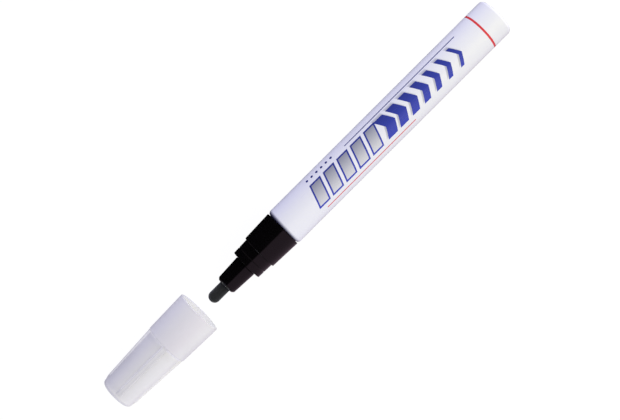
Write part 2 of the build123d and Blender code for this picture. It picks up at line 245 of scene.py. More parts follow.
class CapSettings(PropertyGroup):
    """The stepped, ribbed cap."""

    skirt_length: length("Skirt length", "Length of the wide skirt", 0.0155)
    step_radius: length("Step radius", "Radius of the skirt at the step", 0.00786)
    nose_radius: length("Nose radius", "Radius of the nose at the step", 0.00695)
    end_radius: length("End radius", "Radius of the nose at the closed end", 0.00605)
    end_rounding: length("End rounding", "Rounding round the closed end", 0.0013)
    lip_radius: length("Lip radius", "Rounding of the mouth's lip", 0.0003)
    mouth_bore: length("Mouth bore", "Inside radius at the mouth", 0.00705)
    shoulder_bore: length("Shoulder bore", "Inside radius at the shoulder", 0.00654)
    shoulder_depth: length("Shoulder depth", "Depth of the inner shoulder", 0.0146)
    seat_bore: length("Seat bore", "Inside radius of the nose behind the shoulder", 0.00605)
    bead_depth: length("Bead depth", "Depth of the snap bead", 0.01505)
    bead_radius: length("Bead radius", "Inside radius on the snap bead", 0.00587)
    bead_width: length("Bead width", "Width of the snap bead", 0.00045)
    well_depth: length("Well depth", "Depth of the inside", 0.0381)
    well_bore: length("Well bore", "Inside radius at the well's end", 0.00515)
    edge_radius: length("Edge radius", "Rounding on the step's edges", 0.00014)
    rib_count: count("Rib count", "How many ribs run along the nose", 4)
    rib_turn: angle("Rib turn", "Angle of the first rib from the top", 5)
    rib_width: length("Rib width", "Width of a rib", 0.0020)
    rib_end: length("Rib end", "Distance of the ribs' ends from the closed end", 0.0014)
    rib_fall: share("Rib fall", "How much lower the ribs are at their ends", 0.55)
    plastic: colour("Plastic", "Colour of the milky plastic", (0.836, 0.818, 0.788))
    # Painted light and shade: the colours and shares below stand in for how light falls on and through the
    # milky plastic
    painted_skirt_shade: colour("Skirt plastic", "Colour of the thicker skirt's lit half", (0.790, 0.757, 0.757))
    painted_rib_light: colour("Rib glow", "Light that the plastic carries to the ribs' sides", (0.19, 0.19, 0.18))
    painted_corner_light: colour("Corner glow", "Light that gathers in the step's corner", (0.36, 0.36, 0.36))
    corner_length: length("Corner length", "How far the corner's light reaches along the nose", 0.0034)
    painted_end_light: colour("End glow", "Light that gathers at the closed end", (0.32, 0.32, 0.32))
    painted_side_light: colour("Side glow", "Light that passes through the nose's lit side", (0.045, 0.045, 0.038))
    painted_inner_light: colour("Inner glow", "Light that gathers inside the cap", (0.082, 0.092, 0.140))
    painted_inner_side_light: colour("Inner side glow", "Light inside the cap's lit side", (0.180, 0.194, 0.158))
    painted_nose_shade: share("Nose shade", "Brightness of the thin nose on its shaded side", 0.95)
    painted_rib_shade: share("Rib shade", "How much darker one half of each rib is", 0.06)
    painted_end_shade: share("End shade", "How much darker the shaded side is at the nose's end", 0.10)
    lit_rib_share: share("Lit rib share", "How much of the rib glow stays on the lit side", 0.3)
    painted_lip_shade: share("Lip shade", "How much darker the lip of the mouth is", 0.10)
    cover: share("Cover", "How much each face of the plastic hides", 0.86)


class ValveSettings(PropertyGroup):
    """The hidden parts of the valve and the mixing ball."""

    spring_wire: length("Spring wire", "Diameter of the spring's wire", 0.00045)
    spring_turns: count("Spring turns", "Turns of the spring", 7, least=3)
    end_pitch: length("End pitch", "Pitch of the spring's end turns", 0.00090)
    rubber: colour("Rubber", "Colour of the seals", (0.020, 0.019, 0.018))
    plastic: colour("Plastic", "Colour of the valve's natural plastic", (0.70, 0.68, 0.62))
    steel: colour("Steel", "Colour of the spring and the ball", (0.56, 0.57, 0.58))


class StageSettings(PropertyGroup):
    """The floor, the light and the camera."""

    floor: colour("Floor", "Colour of the floor", (0.08, 0.08, 0.08))
    floor_glow: amount("Floor glow", "Light given off by the floor", 0.95)
    room_glow: amount("Room glow", "Strength of the soft light", 1.245)
    room_tint: colour("Room tint", "Tint of the soft light", (0.765, 0.765, 1.0))
    rear_glow: amount("Rear glow", "Added soft light from behind the barrel", 2.2)
    front_share: share("Front share", "How much of the soft light comes from before the nib", 0.42)
    softbox: colour("Softbox", "What glossy pieces mirror on their lit side", (0.32, 0.225, 0.29))
    flag: colour("Flag", "What glossy pieces mirror on their dark side", (0.002, 0.002, 0.002))
    front_card: colour("Front card", "What glossy pieces mirror before the nib", (0.12, 0.10, 0.11))
    softbox_edge: share("Softbox edge", "Where the softbox begins, as a share across the room", 0.15)
    key_power: amount("Key power", "Power of the key light", 0.93, "POWER")
    key_colour: colour("Key colour", "Colour of the key light", (1.0, 1.0, 0.10))
    key_place: spot("Key place", "Place of the key light", (-0.24, 0.31, 0.40))
    key_size: length("Key size", "Width of the key light", 0.35)
    fill_power: amount("Fill power", "Power of the fill light", 0.060, "POWER")
    fill_colour: colour("Fill colour", "Colour of the fill light", (1.0, 1.0, 0.8))
    fill_place: spot("Fill place", "Place of the fill light", (-0.20, -0.10, 0.11))
    fill_size: length("Fill size", "Width of the fill light", 0.08)
    side_power: amount("Side power", "Power of the cap's side light", 0.0320, "POWER")
    side_colour: colour("Side colour", "Colour of the cap's side light", (0.61, 0.65, 1.0))
    side_place: spot("Side place", "Place of the cap's side light", (0.100, 0.115, 0.055))
    side_size: length("Side size", "Width of the cap's side light", 0.06)
    lens: amount("Lens", "Focal length in millimetres", 72.58, "CAMERA")
    sensor: amount("Sensor", "Sensor width in millimetres", 36.0, "CAMERA")
    scale: amount("Scale", "Image points for each metre at the axis", 3000.0)
    aim_along: length("Aim along", "Place along the axis under the camera", 0.00015)
    aim_across: length("Aim across", "Place across the axis under the camera", 0.00203)
    roll: angle("Roll", "Turn of the camera about the upright", 135.07)


# Modelling

def deselect_everything():
    """Leaves edit mode and selects nothing."""
    if bpy.context.mode != "OBJECT":
        bpy.ops.object.mode_set(mode="OBJECT")
    bpy.ops.object.select_all(action="DESELECT")


def select_points(piece, wanted):
    """Selects the points of a piece in edit mode that pass a test on their place."""
    shape = bmesh.from_edit_mesh(piece.data)
    for point in shape.verts:
        point.select_set(wanted(point.co))
    shape.select_flush_mode()
    bmesh.update_edit_mesh(piece.data)


def at_place(place, radius):
    """A test for the outline point at this place and radius."""
    def found(point):
        return max(abs(point.x - place), abs(point.z - AXIS_HEIGHT - radius)) < PLACE_TOLERANCE
    return found


def tangent_length(corner, before, after, rounding):
    """How far along its sides a corner is cut to get an arc of this radius."""
    to_before = (Vector(before[:2]) - Vector(corner[:2])).normalized()
    to_after = (Vector(after[:2]) - Vector(corner[:2])).normalized()
    return rounding / math.tan(to_before.angle(to_after) / 2)


def open_piece(name):
    """Names the primitive that was added last, puts its place in its mesh and opens it for editing."""
    piece = bpy.context.object
    piece.name = name
    piece.data.name = name
    bpy.ops.object.transform_apply(location=True, rotation=True, scale=True)
    bpy.ops.object.mode_set(mode="EDIT")
    return piece


def face_outwards():
    """Points every face of the piece in edit mode outwards."""
    bpy.ops.mesh.select_all(action="SELECT")
    bpy.ops.mesh.normals_make_consistent(inside=False)


def turn_piece(name, outline, steps):
    """Draws an outline of (place, radius, rounding) corners point by point, rounds it and spins it."""
    deselect_everything()
    place, radius, _ = outline[0]
    bpy.ops.mesh.primitive_plane_add(size=radius + BARREL_RADIUS, location=(place, 0, AXIS_HEIGHT + radius))
    piece = open_piece(name)
    bpy.ops.mesh.select_mode(type="VERT")
    bpy.ops.mesh.select_all(action="SELECT")
    bpy.ops.mesh.merge(type="CENTER")
    for corner, following in zip(outline, outline[1:]):
        shift = (following[0] - corner[0], 0, following[1] - corner[1])
        bpy.ops.mesh.extrude_region_move(TRANSFORM_OT_translate={"value": shift})
    for before, corner, after in zip(outline, outline[1:], outline[2:]):
        if corner[2]:
            select_points(piece, at_place(corner[0], corner[1]))
            bpy.ops.mesh.bevel(offset_type="OFFSET", offset=tangent_length(corner, before, after, corner[2]),
                               segments=ROUND_SEGMENTS + int(corner[2] / ROUND_STEP), affect="VERTICES",
                               clamp_overlap=False)
    bpy.ops.mesh.select_all(action="SELECT")
    bpy.ops.mesh.spin(steps=steps, angle=math.tau, center=(0, 0, AXIS_HEIGHT), axis=(1, 0, 0))
    bpy.ops.mesh.select_all(action="SELECT")
    bpy.ops.mesh.remove_doubles(threshold=MERGE_DISTANCE)
    face_outwards()
    return piece


def finish_piece(piece, body, node, finish):
    """Smooths a piece and ties it to its body, slot, solid and finish."""
    deselect_everything()
    piece.select_set(True)
    bpy.context.view_layer.objects.active = piece
    bpy.ops.object.shade_smooth_by_angle(angle=SMOOTH_ANGLE)
    piece.data.materials.append(finish)
    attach(piece, body)
    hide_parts(node)


# Finishes

def paint(base, tone=1.0):
    """A settings colour, or a darker or paler tone of it, as a solid colour."""
    return (*(tone * part for part in base), 1.0)


class Shade:
    """A value in a node tree, on which Python's operators add Math nodes."""

    def __init__(self, nodes, socket):
        self.nodes = nodes
        self.socket = socket

    def math(self, operation, *values):
        """The result of a Math node on these values."""
        return self.nodes.node("ShaderNodeMath", {"operation": operation}, dict(enumerate(values)))

    def __add__(self, other):
        return self.math("ADD", self, other)

    __radd__ = __add__

    def __sub__(self, other):
        return self.math("SUBTRACT", self, other)

    def __rsub__(self, other):
        return self.math("SUBTRACT", other, self)

    def __mul__(self, other):
        return self.math("MULTIPLY", self, other)

    __rmul__ = __mul__

    def __truediv__(self, other):
        return self.math("DIVIDE", self, other)

    def __pow__(self, other):
        return self.math("POWER", self, other)

    def __abs__(self):
        return self.math("ABSOLUTE", self)

    def __floor__(self):
        return self.math("FLOOR", self)

    def __neg__(self):
        return self.math("SUBTRACT", 0.0, self)

    def most(self, other):
        """The greater of two values."""
        return self.math("MAXIMUM", self, other)

    def inside(self, soft):
        """One where the value is below nought, with an edge that fades this far to either side."""
        return self.nodes.node("ShaderNodeMapRange", {"interpolation_type": "SMOOTHSTEP"},
                                {0: self, 1: soft, 2: -soft, 3: 0.0, 4: 1.0})

    def below(self, edge):
        """One where the value is below an edge, which is its place and how far it fades."""
        place, soft = edge
        return (self - place).inside(soft)

    def above(self, edge):
        """One where the value is above an edge, which is its place and how far it fades."""
        place, soft = edge
        return (place - self).inside(soft)

    def between(self, low, high):
        """A value that goes from low to high as this one goes from nought to one."""
        return low + self * (high - low)


class Nodes:
    """A node tree that is being built."""

    def __init__(self, owner):
        owner.use_nodes = True
        self.tree = owner.node_tree
        self.tree.nodes.clear()

    def node(self, kind, settings=None, sockets=None, output=0):
        """Adds a node with its settings and sockets, and gives one of its outputs."""
        node = self.tree.nodes.new(kind)
        for name, value in (settings or {}).items():
            setattr(node, name, value)
        for name, value in (sockets or {}).items():
            if isinstance(value, Shade):
                self.tree.links.new(value.socket, node.inputs[name])
            else:
                node.inputs[name].default_value = value
        return Shade(self, node.outputs[output]) if node.outputs else None

    def blend(self, mask, first, second, mode="MIX"):
        """The first colour where the mask is nought, the second or the sum of both where it is one."""
        return self.node("ShaderNodeMix", {"data_type": "RGBA", "blend_type": mode},
                         {0: mask, 6: first, 7: second}, 2)

    def mottle(self, mask, base, tone):
        """A colour that turns to this tone of itself where the mask is one."""
        return self.blend(mask, paint(base), paint(base, tone))

    def part(self, vector, name):
        """One coordinate of a vector."""
        return self.node("ShaderNodeSeparateXYZ", sockets={0: vector}, output=name)


class Finish(Nodes):
    """A material made of nodes, on the Object coordinates of its piece."""

    def __init__(self, name):
        self.material = bpy.data.materials.new(name)
        super().__init__(self.material)
        self.place = self.node("ShaderNodeTexCoord", output="Object")

    def axis(self, name):
        """One coordinate of the surface."""
        return self.part(self.place, name)

    def turn(self):
        """Angle about the long axis, from the top line towards +Y."""
        return self.node("ShaderNodeMath", {"operation": "ARCTAN2"},
                         {0: self.axis("Y"), 1: self.axis("Z") - AXIS_HEIGHT})

    def noise(self, scale, stretch=(1, 1, 1), detail=2.0):
        """Noise from nought to one, finer along an axis where the stretch is greater."""
        place = self.node("ShaderNodeVectorMath", {"operation": "MULTIPLY"}, {0: self.place, 1: stretch})
        return self.node("ShaderNodeTexNoise", sockets={"Vector": place, "Scale": scale, "Detail": detail})

    def relief(self, height, depth):
        """Normals of a surface that stands up to this depth proud."""
        return self.node("ShaderNodeBump", sockets={"Height": height, "Distance": depth})

    def surface(self, **sockets):
        """Ends the finish in a Principled shader and gives its material."""
        named = {name.replace("_", " "): value for name, value in sockets.items()}
        shader = self.node("ShaderNodeBsdfPrincipled", sockets=named)
        self.node("ShaderNodeOutputMaterial", sockets={"Surface": shader})
        return self.material


def plate_edge(along, across, barrel):
    """Distance outside the nearest outlined plate, below nought within it."""
    lean = along + across * barrel.print_slant - barrel.plates_start
    number = math.floor(lean / barrel.plate_pitch)
    from_middle = abs(lean - (number + 0.5) * barrel.plate_pitch)
    beside = (from_middle - barrel.plate_width / 2).most(abs(across) - barrel.plate_height / 2)
    return beside.most(-lean).most(lean - barrel.plate_pitch * barrel.plate_count)


def chevron_edge(along, across, barrel):
    """Distance outside the nearest solid chevron, below nought within it."""
    fold = along + abs(across) * barrel.chevron_lean - barrel.chevrons_start
    number = math.floor(fold / barrel.chevron_pitch)
    within = fold - number * barrel.chevron_pitch
    beside = within - (barrel.chevron_width - number * barrel.chevron_fall)
    beside = beside.most(-within).most(abs(across) - barrel.chevron_height / 2)
    run = barrel.chevron_pitch * (barrel.chevron_count - barrel.chevron_gap)
    return beside.most(-fold).most(fold - run)


def rule_edge(along, aside, start, end, width):
    """Distance outside a fine rule that runs along the barrel, below nought within it."""
    return (abs(aside) - width / 2).most(start - along).most(along - end)


def dot_edge(along, across, barrel):
    """Distance outside the nearest dot, below nought within it."""
    run = along - barrel.dots_start
    number = math.floor(run / barrel.dot_pitch)
    from_middle = run - (number + 0.5) * barrel.dot_pitch
    aside = across - barrel.dots_place
    dot = (from_middle * from_middle + aside * aside) ** 0.5 - barrel.dot_radius
    return dot.most(-run).most(run - barrel.dot_pitch * barrel.dot_count)


def barrel_finish(barrel):
    """White lacquer with a print of plates, chevrons, rules, dots and a ring, and painted shade on the rolled
    rim.
    """
    finish = Finish("white_lacquer")
    waver = (finish.noise(scale=2600.0) - 0.5) * PRINT_WAVER
    along = BARREL_RIM - finish.axis("X") + waver
    across = finish.turn() * BARREL_RADIUS - barrel.print_middle + waver

    plate = plate_edge(along, across, barrel)
    windows = (plate + barrel.plate_border).inside(PRINT_EDGE)
    chevrons = chevron_edge(along, across, barrel).inside(PRINT_EDGE)
    blue_parts = (plate.inside(PRINT_EDGE) - windows).most(chevrons)
    red_rule = rule_edge(along, across - barrel.red_rule_place, barrel.red_rule_start, barrel.red_rule_end,
                         barrel.rule_width)
    ring = abs(along - barrel.ring_place) - barrel.rule_width
    red_parts = red_rule.inside(PRINT_EDGE).most(ring.inside(PRINT_EDGE))
    navy_rule = rule_edge(along, across - barrel.navy_rule_place, barrel.navy_rule_start,
                          barrel.navy_rule_end, barrel.rule_width)
    dots = dot_edge(along, across, barrel)
    navy_parts = navy_rule.inside(PRINT_EDGE).most(dots.inside(PRINT_EDGE))
    shadow = chevron_edge(along + barrel.shadow_along, across + barrel.shadow_across, barrel)
    shadow = shadow.inside(barrel.shadow_soft) * barrel.shadow_depth
    # Painted shade on the rolled rim: dark by the collar, fading backwards, and drawing back on the lit +Y
    # side
    rim_roll = along + finish.axis("Y") * barrel.rim_shade_lean
    rim_roll = rim_roll.below((barrel.rim_shade_reach, barrel.rim_shade_soft))

    tint = across / barrel.plate_height + 0.5
    grey = finish.blend(tint, paint(barrel.dark_tint), paint(barrel.pale_tint))
    blue = finish.blend(tint, paint(barrel.deep_ink), paint(barrel.blue_ink))
    skin = finish.mottle(finish.noise(scale=260.0, detail=4.0), barrel.lacquer, tone=0.975)
    skin = finish.blend(shadow, skin, paint(barrel.dark_tint))
    skin = finish.blend(windows, skin, grey)
    skin = finish.blend(blue_parts, skin, blue)
    skin = finish.blend(red_parts, skin, paint(barrel.red_ink))
    skin = finish.blend(navy_parts, skin, paint(barrel.navy_ink))
    skin = finish.blend(rim_roll, skin, paint(barrel.painted_rim_shade))

    ink = blue_parts.most(red_parts).most(navy_parts)
    ink_gloss, ink_height, lacquer_height = 0.04, 0.6, 0.5
    scuffs = finish.noise(scale=900.0, stretch=(0.15, 1, 1), detail=5.0)
    height = finish.noise(scale=1500.0, detail=3.0) * lacquer_height + ink * ink_height
    return finish.surface(Base_Color=skin, Roughness=scuffs.between(0.24, 0.36) - ink * ink_gloss,
                          Normal=finish.relief(height, depth=0.000006), Coat_Weight=0.3, Coat_Roughness=0.12)


def black_finish(section):
    """Glossy black moulded plastic with faint scuffs."""
    finish = Finish("gloss_black")
    scuffs = finish.noise(scale=1400.0, stretch=(0.2, 1, 1), detail=6.0)
    grain = finish.noise(scale=5200.0, detail=3.0)
    skin = finish.mottle(finish.noise(scale=320.0, detail=4.0), section.plastic, tone=1.7)
    return finish.surface(Base_Color=skin, Roughness=scuffs.between(0.08, 0.17),
                          Normal=finish.relief(grain + scuffs, depth=0.0000012))


def felt_finish(nib):
    """Pressed felt with its fibres along the nib."""
    finish = Finish("pressed_felt")
    fibre_strength, fuzz_height = 2.0, 0.7
    strands = finish.noise(scale=2600.0, stretch=(0.16, 1, 1), detail=4.0)
    fuzz = finish.noise(scale=5200.0, detail=5.0)
    skin = finish.blend(strands * fuzz * fibre_strength, paint(nib.felt), paint(nib.fibre))
    return finish.surface(Base_Color=skin, Roughness=fuzz.between(0.86, 1.0),
                          Normal=finish.relief(strands + fuzz * fuzz_height, depth=0.00007),
                          Sheen_Weight=0.25, Specular_IOR_Level=0.2)


def cap_step(cap):
    """Place of the cap's step along the axis."""
    return CAP_MOUTH + cap.skirt_length


class CapFinish(Finish):
    """Milky see-through plastic, with light and shade painted into its colour and its glow."""

    # Edges across the cap: the distance from its axis towards +Y, and how far the edge fades
    lit_skirt_from = (-0.001, 0.005)
    lit_skirt_to = (0.005, 0.002)
    shaded_nose_to = (0.003, 0.004)
    shaded_edge_to = (-0.0045, 0.0015)
    lit_nose_from = (0.005, 0.0015)
    dim_side_to = (0.004, 0.001)
    lit_inside_from = (0.00225, 0.00175)

    # Edges along the cap: the distance past its step, and how far the edge fades
    step_from = (0.0, CAP_EDGE)
    nose_from = (0.0, 0.0008)
    near_end_from = (0.008, 0.006)

    # Edges of height above the nose, or for the wall above the outside, and how far the edge fades
    rib_side_from = (0.00002, CAP_EDGE)
    rib_half_from = (0.00006, CAP_EDGE)
    corner_to = (0.0003, 0.0002)
    wall_to = (-0.00045, 0.00005)

    # Edge of how much a face points to +Y, and how far the edge fades
    facing_to = (0.4, 0.3)

    # How steeply the painted light falls off, and how much of a rib's height and run it reaches
    corner_fall = 6
    end_fall = 2
    rib_share = 0.9

    # How much of the end's painted shade covers all of the shaded side
    end_spread = 0.25

    # Middle and reach of the painted darker band on a rib, as shares of the rib's width
    half_middle = 0.275
    half_reach = 0.2

    # How far the other edges fade, and how far the inside's painted light reaches past the well
    half_fade = 0.00015
    rib_end_fade = 0.0004
    lip_fade = 0.0001
    skirt_fade = 0.00001
    well_fade = 0.0001
    well_past = 0.0005

    def __init__(self, cap):
        super().__init__("milky_plastic")
        self.cap = cap
        self.side = self.axis("Y")
        self.along = self.axis("X") - cap_step(cap)
        height = self.axis("Z") - AXIS_HEIGHT
        self.radius = (self.side * self.side + height * height) ** 0.5
        self.nose_length = CAP_END - cap_step(cap)
        self.nose = cap.nose_radius + self.along * ((cap.end_radius - cap.nose_radius) / self.nose_length)
        self.proud = self.radius - self.nose
        self.past_step = self.along.above(self.step_from)
        self.flow = self.noise(scale=150.0, stretch=(0.35, 1, 1), detail=4.0)

    def rib_sides(self):
        """One on the sides of the ribs that don't face +Y, nought on their tops and elsewhere."""
        cap = self.cap
        run = self.nose_length - cap.rib_end
        rib_height = cap.step_radius - cap.edge_radius - cap.nose_radius
        rise = rib_height - self.along * (rib_height * cap.rib_fall / run)
        on_side = self.proud.above(self.rib_side_from) * self.proud.below((rise * self.rib_share, CAP_EDGE))
        before_end = self.along.below((run * self.rib_share, self.rib_end_fade))
        facing = self.node("ShaderNodeTexCoord", output="Normal")
        return on_side * self.past_step * before_end * self.part(facing, "Y").below(self.facing_to)

    def rib_halves(self):
        """One on the half of each rib that lies further round from the top to +Y, nought elsewhere."""
        cap = self.cap
        pitch = math.tau / cap.rib_count
        turn = self.turn() - cap.rib_turn
        within = (turn - math.floor(turn / pitch + 0.5) * pitch) * cap.nose_radius
        from_middle = abs(within - cap.rib_width * self.half_middle)
        on_half = from_middle.below((cap.rib_width * self.half_reach, self.half_fade))
        return on_half * self.proud.above(self.rib_half_from) * self.past_step

    def step_corner(self):
        """One in the corner between the step and the nose, falling to nought along the nose."""
        near = (1 - self.along / self.cap.corner_length).most(0.0) ** self.corner_fall
        return near * self.past_step * self.proud.below(self.corner_to)

    def closed_end(self):
        """One on the face of the closed end, falling to nought along its rounding."""
        from_end = CAP_END - self.axis("X")
        return (1 - from_end / self.cap.end_rounding).most(0.0) ** self.end_fall

    def inner_faces(self):
        """One on the faces inside the cap, nought on its outside."""
        cap = self.cap
        skirt = cap.step_radius + self.along * ((cap.step_radius - CAP_RADIUS) / cap.skirt_length)
        outer_face = self.nose + self.along.inside(self.skirt_fade) * (skirt - self.nose)
        within = (self.radius - outer_face).below(self.wall_to)
        return within * self.along.below((cap.well_depth + self.well_past - cap.skirt_length, self.well_fade))

    def skin(self):
        """Colour of the plastic, with painted shade on its shaded side, its lip and one half of each rib, and
        a darker painted colour on the skirt's lit half.
        """
        cap = self.cap
        lit_skirt = self.side.above(self.lit_skirt_from) * self.side.below(self.lit_skirt_to)
        skin = self.mottle(self.flow, cap.plastic, tone=0.97)
        # Painted shade: a darker, warmer colour on the skirt's lit half
        skin = self.blend(self.along.inside(CAP_EDGE) * lit_skirt, skin, paint(cap.painted_skirt_shade))
        shaded_nose = self.along.above(self.nose_from) * self.side.below(self.shaded_nose_to)
        shaded_edge = self.side.below(self.shaded_edge_to)
        shaded_end = shaded_nose * self.end_spread + shaded_edge * (1 - self.end_spread)
        shaded_end = self.along.above(self.near_end_from) * shaded_end
        lip = self.along.below((cap.lip_radius - cap.skirt_length, self.lip_fade))
        # Painted shade on the nose's shaded side, deepening towards its end, on one half of each rib and on
        # the mouth's lip
        shade = shaded_nose * (1 - cap.painted_nose_shade) + shaded_end * cap.painted_end_shade
        shade = shade + self.rib_halves() * cap.painted_rib_shade + lip * cap.painted_lip_shade
        return self.blend(shade, skin, BLACK)

    def glow(self):
        """Painted light, given off as glow, on the ribs' sides, the closed end, the step's corner, the lit
        side and the inside.
        """
        cap = self.cap
        # Painted light on the ribs' sides, weaker on the lit side
        rib_light = self.side.below(self.dim_side_to).between(cap.lit_rib_share, 1.0)
        lit_nose = self.past_step * self.side.above(self.lit_nose_from)
        lit_inside = self.side.above(self.lit_inside_from)
        glow = self.blend(self.rib_sides() * rib_light, BLACK, paint(cap.painted_rib_light))
        # Painted light at the closed end
        glow = self.blend(self.closed_end(), glow, paint(cap.painted_end_light), "ADD")
        # Painted light in the step's corner, where the step's shadow falls
        glow = self.blend(self.step_corner(), glow, paint(cap.painted_corner_light), "ADD")
        # Painted light on the nose's lit side
        glow = self.blend(lit_nose, glow, paint(cap.painted_side_light), "ADD")
        # Painted light inside the cap, more on its lit side
        inner = self.blend(lit_inside, paint(cap.painted_inner_light), paint(cap.painted_inner_side_light))
        return self.blend(self.inner_faces(), glow, inner)


def cap_finish(cap):
    """Milky see-through plastic with a fine satin grain, painted shade in its colour and painted light in its
    glow.
    """
    finish = CapFinish(cap)
    cover_range = 0.02
    cover = finish.flow.between(cap.cover - cover_range, cap.cover + cover_range)
    grain = finish.noise(scale=4200.0, detail=3.0)
    return finish.surface(Base_Color=finish.skin(), Roughness=grain.between(0.34, 0.44), Alpha=cover,
                          Normal=finish.relief(grain + finish.flow, depth=0.000008),
                          Emission_Color=finish.glow(), Emission_Strength=1.0)


def rubber_finish(valve):
    """Matt black rubber."""
    finish = Finish("matt_rubber")
    bloom = finish.noise(scale=800.0, detail=5.0)
    grain = finish.noise(scale=4800.0, detail=3.0)
    return finish.surface(Base_Color=finish.mottle(bloom, valve.rubber, tone=1.6),
                          Roughness=bloom.between(0.58, 0.78), Normal=finish.relief(grain, depth=0.00001))


def valve_finish(valve):
    """Natural moulded plastic with flow marks."""
    finish = Finish("natural_plastic")
    flow = finish.noise(scale=420.0, stretch=(0.3, 1, 1), detail=4.0)
    grain = finish.noise(scale=5000.0, detail=3.0)
    return finish.surface(Base_Color=finish.mottle(flow, valve.plastic, tone=0.93),
                          Roughness=flow.between(0.32, 0.46), Normal=finish.relief(grain, depth=0.000005))


def spring_finish(valve):
    """Drawn spring wire."""
    finish = Finish("drawn_steel")
    draw = finish.noise(scale=5200.0, detail=5.0)
    stain = finish.noise(scale=700.0, detail=3.0)
    return finish.surface(Base_Color=finish.mottle(stain, valve.steel, tone=0.8), Metallic=1.0,
                          Roughness=draw.between(0.22, 0.42), Normal=finish.relief(draw, depth=0.000004))


def ball_finish(valve):
    """Polished bearing steel with fine wear."""
    finish = Finish("polished_steel")
    wear = finish.noise(scale=1900.0, stretch=(1, 0.3, 1), detail=6.0)
    skin = finish.blend(wear, paint(valve.steel, tone=1.1), paint(valve.steel))
    return finish.surface(Base_Color=skin, Metallic=1.0, Roughness=wear.between(0.07, 0.19),
                          Normal=finish.relief(wear, depth=0.000001))


# Pieces

class MARKER_OT_barrel(Operator):
    """Models the lacquered tube with its closed end and rolled rim"""
    bl_idname = "marker.barrel"
    bl_label = "Barrel"

    columns = 192

    # Roundings of the roll, for each length of its slope and of its lip's radius
    slope_rounding = 1.8
    lip_room = 1.2

    def execute(self, context):
        barrel = context.scene.marker_barrel
        lip = BARREL_RADIUS - barrel.rim_roll
        bore = BARREL_RADIUS - barrel.wall
        front = BARREL_RIM + barrel.rim_lead
        lip_rear = front - barrel.wall
        outline = [
            (BARREL_REAR, 0, 0),
            (BARREL_REAR, BARREL_RADIUS, barrel.edge_radius),
            (front - barrel.rim_slope, BARREL_RADIUS, barrel.rim_slope * self.slope_rounding),
            (front, BARREL_RADIUS - barrel.rim_drop, barrel.rim_drop),
            (front, lip, barrel.lip_radius),
            (lip_rear, lip, barrel.lip_radius),
            (lip_rear, bore, barrel.wall - barrel.lip_radius * self.lip_room),
            (BARREL_REAR + barrel.base, bore, barrel.edge_radius - barrel.wall),
            (BARREL_REAR + barrel.base, 0, 0),
        ]
        piece = turn_piece("barrel_tube", outline, self.columns)
        finish_piece(piece, "marker", "barrel", barrel_finish(barrel))
        return {"FINISHED"}


class MARKER_OT_front_section(Operator):
    """Models the collar, the ringed land and the spigot"""
    bl_idname = "marker.front_section"
    bl_label = "Front section"

    columns = 160

    def execute(self, context):
        section = context.scene.marker_section
        edge = section.edge_radius
        collar_rear = BARREL_RIM + section.collar_gap
        collar_front = collar_rear + section.collar_length
        chamfer_rear = collar_front - section.collar_chamfer
        chamfer_top = section.collar_front_radius
        spigot_front = BARREL_RIM - section.neck_inset
        groove = LAND_FRONT - section.groove_place
        groove_half = section.groove_width / 2
        land = (section.land_rear_radius + section.land_front_radius) / 2
        gasket_floor = GASKET_RADIUS - (GASKET_FRONT - GASKET_REAR) - edge
        outline = [
            (SECTION_REAR, SEAT_RADIUS, 0),
            (SECTION_REAR, section.spigot_radius, edge),
            (GASKET_REAR, section.spigot_radius, edge),
            (GASKET_REAR, gasket_floor, edge),
            (GASKET_FRONT, gasket_floor, edge),
            (GASKET_FRONT, section.spigot_radius, edge),
            (spigot_front, section.spigot_radius, edge),
            (spigot_front, section.neck_radius, edge),
            (collar_rear, section.neck_radius, edge),
            (collar_rear, COLLAR_RADIUS, edge),
            (chamfer_rear, chamfer_top, edge),
            (collar_front, chamfer_top - section.collar_chamfer, edge),
            (collar_front, section.land_rear_radius, edge / 2),
            (groove - groove_half, land, edge),
            (groove, land - section.groove_depth, edge),
            (groove + groove_half, land, edge),
            (LAND_FRONT, section.land_front_radius, edge),
            (LAND_FRONT, section.socket_radius, 0),
            (HOLDER_REAR, section.socket_radius, 0),
            (HOLDER_REAR, section.passage_radius, 0),
            (SEAT_FRONT, section.passage_radius, 0),
            (SEAT_FRONT, SEAT_RADIUS, 0),
            (SECTION_REAR, SEAT_RADIUS, 0),
        ]
        piece = turn_piece("front_section_moulding", outline, self.columns)
        finish_piece(piece, "marker", "front_section", black_finish(section))
        return {"FINISHED"}


class MARKER_OT_nib_holder(Operator):
    """Models the nozzle that grips the nib"""
    bl_idname = "marker.nib_holder"
    bl_label = "Nib holder"

    columns = 128

    def execute(self, context):
        holder = context.scene.marker_holder
        bore = NIB_RADIUS + holder.bore_gap
        nozzle_rear = LAND_FRONT + holder.neck_length
        edge = holder.edge_radius
        outline = [
            (HOLDER_REAR, bore, 0),
            (HOLDER_REAR, holder.shank_radius, edge / 2),
            (nozzle_rear, holder.shank_radius, 0),
            (nozzle_rear, NOZZLE_RADIUS - holder.rear_chamfer, 0),
            (nozzle_rear + holder.rear_chamfer, NOZZLE_RADIUS, edge),
            (NOZZLE_FRONT - holder.front_chamfer, holder.front_radius, edge * 2),
            (NOZZLE_FRONT, holder.front_radius - holder.front_chamfer, edge),
            (NOZZLE_FRONT, bore, edge / 2),
            (HOLDER_REAR, bore, 0),
        ]
        piece = turn_piece("nib_holder_nozzle", outline, self.columns)
        finish_piece(piece, "marker", "nib_holder", bpy.data.materials["gloss_black"])
        return {"FINISHED"}


class MARKER_OT_nib(Operator):
    """Models the felt nib with its rounded end"""
    bl_idname = "marker.nib"
    bl_label = "Nib"

    columns = 96

    def execute(self, context):
        nib = context.scene.marker_nib
        outline = [
            (NIB_TAIL, 0, 0),
            (NIB_TAIL, NIB_RADIUS, nib.tail_radius),
            (NIB_TIP, NIB_RADIUS, nib.dome_length),
            (NIB_TIP, 0, 0),
        ]
        piece = turn_piece("felt_nib", outline, self.columns)
        finish_piece(piece, "nib", "nib", felt_finish(nib))
        return {"FINISHED"}


